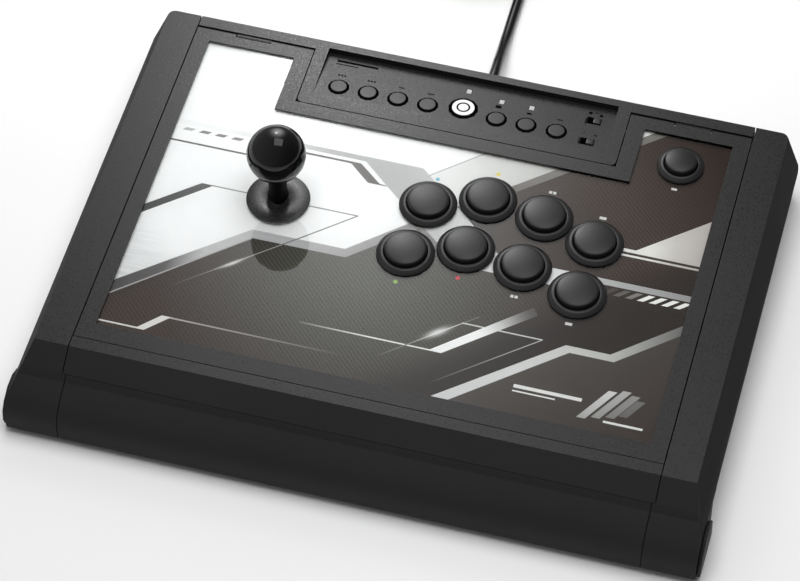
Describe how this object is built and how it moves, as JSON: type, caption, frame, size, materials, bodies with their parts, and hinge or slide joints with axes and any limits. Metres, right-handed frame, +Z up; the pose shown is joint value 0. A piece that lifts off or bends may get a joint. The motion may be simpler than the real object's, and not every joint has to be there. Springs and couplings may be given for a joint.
{
  "type": "arcade fight stick controller",
  "caption": "Tabletop arcade controller: flat plastic case with hinged lid, ball-top lever, round push buttons, sunk strip of small control buttons and a USB cable.",
  "frame": {"origin": "on the table, at the centre of the case footprint", "axes": "+X to the player's right, +Y away from the player, +Z up"},
  "size_m": [0.4126, 0.4972, 0.1065],
  "materials": {
    "case_plastic": "fine grained",
    "front_plastic": "satin, fine grained",
    "tray_plastic": "matte",
    "foot_rubber": "matte",
    "window_acrylic": "polished clear",
    "printed_art": "printed film",
    "plate_steel": "satin",
    "button_plastic": "satin",
    "cap_plastic": "satin",
    "lever_housing": "satin",
    "lever_steel": "polished",
    "gloss_black": "polished",
    "small_cap_plastic": "fine grained",
    "home_white": "satin",
    "light_guide": "frosted",
    "circuit_board": "solder mask",
    "cable_jacket": "satin",
    "plug_body": "satin"
  },
  "bodies": {
    "root": {"base_tray": "tray_plastic", "foot_strip_front": "foot_rubber", "foot_strip_rear": "foot_rubber", "left_side_cover": "case_plastic", "right_side_cover": "case_plastic", "top_frame": "case_plastic", "front_cover": "front_plastic", "left_end_plate": "front_plastic", "right_end_plate": "front_plastic", "hinge_pin_left": "lever_steel", "hinge_pin_right": "lever_steel", "light_pipe": "light_guide", "control_board": "circuit_board", "main_board": "circuit_board", "strain_relief": "cable_jacket", "cable_lead": "cable_jacket", "cable_coil": "cable_jacket", "usb_plug": "plug_body"},
    "lid": {"lid_frame": "case_plastic", "window": "window_acrylic", "art_sheet": "printed_art", "control_plate": "plate_steel", "option_body": "button_plastic", "lever_base": "lever_housing", "lever_switch_board": "circuit_board", "button_body_a1": "button_plastic", "button_body_a2": "button_plastic", "button_body_a3": "button_plastic", "button_body_a4": "button_plastic", "button_body_b1": "button_plastic", "button_body_b2": "button_plastic", "button_body_b3": "button_plastic", "button_body_b4": "button_plastic"},
    "lever_pivot": {"pivot_ring": "lever_housing"},
    "lever": {"lever_shaft": "lever_steel", "shaft_cover": "gloss_black", "ball_top": "gloss_black", "actuator": "lever_housing", "centring_spring": "lever_steel"},
    "washer_carrier": {"washer_glide": "lever_housing"},
    "washer": {"dust_washer": "gloss_black"},
    "cap_a1": {"button_cap_a1": "cap_plastic"},
    "cap_a2": {"button_cap_a2": "cap_plastic"},
    "cap_a3": {"button_cap_a3": "cap_plastic"},
    "cap_a4": {"button_cap_a4": "cap_plastic"},
    "cap_b1": {"button_cap_b1": "cap_plastic"},
    "cap_b2": {"button_cap_b2": "cap_plastic"},
    "cap_b3": {"button_cap_b3": "cap_plastic"},
    "cap_b4": {"button_cap_b4": "cap_plastic"},
    "cap_option": {"option_cap": "cap_plastic"},
    "small_s1": {"small_cap_s1": "small_cap_plastic"},
    "small_s2": {"small_cap_s2": "small_cap_plastic"},
    "small_s3": {"small_cap_s3": "small_cap_plastic"},
    "small_s4": {"small_cap_s4": "small_cap_plastic"},
    "small_s5": {"small_cap_s5": "small_cap_plastic"},
    "small_s6": {"small_cap_s6": "small_cap_plastic"},
    "small_s7": {"small_cap_s7": "small_cap_plastic"},
    "home": {"home_cap": "home_white"},
    "switch_1": {"slide_switch_1": "small_cap_plastic"},
    "switch_2": {"slide_switch_2": "small_cap_plastic"}
  },
  "joints": [
    {"name": "lid_hinge", "type": "hinge", "parent": "root", "child": "lid", "pos_m": [0, 0.1392, 0.0466], "axis": [-1, 0, 0], "range_deg": [0, 80]},
    {"name": "lever_tilt_y", "type": "hinge", "parent": "lid", "child": "lever_pivot", "pos_m": [-0.0884, 0.0225, 0.0335], "axis": [1, 0, 0], "range_deg": [-9, 9], "stiffness_Nm_per_rad": 0.6},
    {"name": "lever_tilt_x", "type": "hinge", "parent": "lever_pivot", "child": "lever", "pos_m": [-0.0884, 0.0225, 0.0335], "axis": [0, 1, 0], "range_deg": [-9, 9], "stiffness_Nm_per_rad": 0.6},
    {"name": "washer_slide_x", "type": "slide", "parent": "lid", "child": "washer_carrier", "axis": [1, 0, 0], "range_m": [-0.00245, 0.00245]},
    {"name": "washer_slide_y", "type": "slide", "parent": "washer_carrier", "child": "washer", "axis": [0, 1, 0], "range_m": [-0.00245, 0.00245]},
    {"name": "press_a1", "type": "slide", "parent": "lid", "child": "cap_a1", "axis": [0, 0, -1], "range_m": [0, 0.0032], "stiffness_N_per_m": 250, "springref_m": -0.001},
    {"name": "press_a2", "type": "slide", "parent": "lid", "child": "cap_a2", "axis": [0, 0, -1], "range_m": [0, 0.0032], "stiffness_N_per_m": 250, "springref_m": -0.001},
    {"name": "press_a3", "type": "slide", "parent": "lid", "child": "cap_a3", "axis": [0, 0, -1], "range_m": [0, 0.0032], "stiffness_N_per_m": 250, "springref_m": -0.001},
    {"name": "press_a4", "type": "slide", "parent": "lid", "child": "cap_a4", "axis": [0, 0, -1], "range_m": [0, 0.0032], "stiffness_N_per_m": 250, "springref_m": -0.001},
    {"name": "press_b1", "type": "slide", "parent": "lid", "child": "cap_b1", "axis": [0, 0, -1], "range_m": [0, 0.0032], "stiffness_N_per_m": 250, "springref_m": -0.001},
    {"name": "press_b2", "type": "slide", "parent": "lid", "child": "cap_b2", "axis": [0, 0, -1], "range_m": [0, 0.0032], "stiffness_N_per_m": 250, "springref_m": -0.001},
    {"name": "press_b3", "type": "slide", "parent": "lid", "child": "cap_b3", "axis": [0, 0, -1], "range_m": [0, 0.0032], "stiffness_N_per_m": 250, "springref_m": -0.001},
    {"name": "press_b4", "type": "slide", "parent": "lid", "child": "cap_b4", "axis": [0, 0, -1], "range_m": [0, 0.0032], "stiffness_N_per_m": 250, "springref_m": -0.001},
    {"name": "press_option", "type": "slide", "parent": "lid", "child": "cap_option", "axis": [0, 0, -1], "range_m": [0, 0.0028], "stiffness_N_per_m": 250, "springref_m": -0.001},
    {"name": "press_s1", "type": "slide", "parent": "root", "child": "small_s1", "axis": [0, -0.1107, -0.9939], "range_m": [0, 0.0008], "stiffness_N_per_m": 300, "springref_m": -0.0006},
    {"name": "press_s2", "type": "slide", "parent": "root", "child": "small_s2", "axis": [0, -0.1107, -0.9939], "range_m": [0, 0.0008], "stiffness_N_per_m": 300, "springref_m": -0.0006},
    {"name": "press_s3", "type": "slide", "parent": "root", "child": "small_s3", "axis": [0, -0.1107, -0.9939], "range_m": [0, 0.0008], "stiffness_N_per_m": 300, "springref_m": -0.0006},
    {"name": "press_s4", "type": "slide", "parent": "root", "child": "small_s4", "axis": [0, -0.1107, -0.9939], "range_m": [0, 0.0008], "stiffness_N_per_m": 300, "springref_m": -0.0006},
    {"name": "press_s5", "type": "slide", "parent": "root", "child": "small_s5", "axis": [0, -0.1107, -0.9939], "range_m": [0, 0.0008], "stiffness_N_per_m": 300, "springref_m": -0.0006},
    {"name": "press_s6", "type": "slide", "parent": "root", "child": "small_s6", "axis": [0, -0.1107, -0.9939], "range_m": [0, 0.0008], "stiffness_N_per_m": 300, "springref_m": -0.0006},
    {"name": "press_s7", "type": "slide", "parent": "root", "child": "small_s7", "axis": [0, -0.1107, -0.9939], "range_m": [0, 0.0008], "stiffness_N_per_m": 300, "springref_m": -0.0006},
    {"name": "press_home", "type": "slide", "parent": "root", "child": "home", "axis": [0, -0.1107, -0.9939], "range_m": [0, 0.0008], "stiffness_N_per_m": 300, "springref_m": -0.0006},
    {"name": "switch_slide_1", "type": "slide", "parent": "root", "child": "switch_1", "axis": [-1, 0, 0], "range_m": [0, 0.0032]},
    {"name": "switch_slide_2", "type": "slide", "parent": "root", "child": "switch_2", "axis": [-1, 0, 0], "range_m": [0, 0.0032]}
  ],
  "couplings": [
    {"joint": "washer_slide_x", "follows": "lever_tilt_x", "m_per_rad": 0.0152},
    {"joint": "washer_slide_y", "follows": "lever_tilt_y", "m_per_rad": -0.0152}
  ]
}
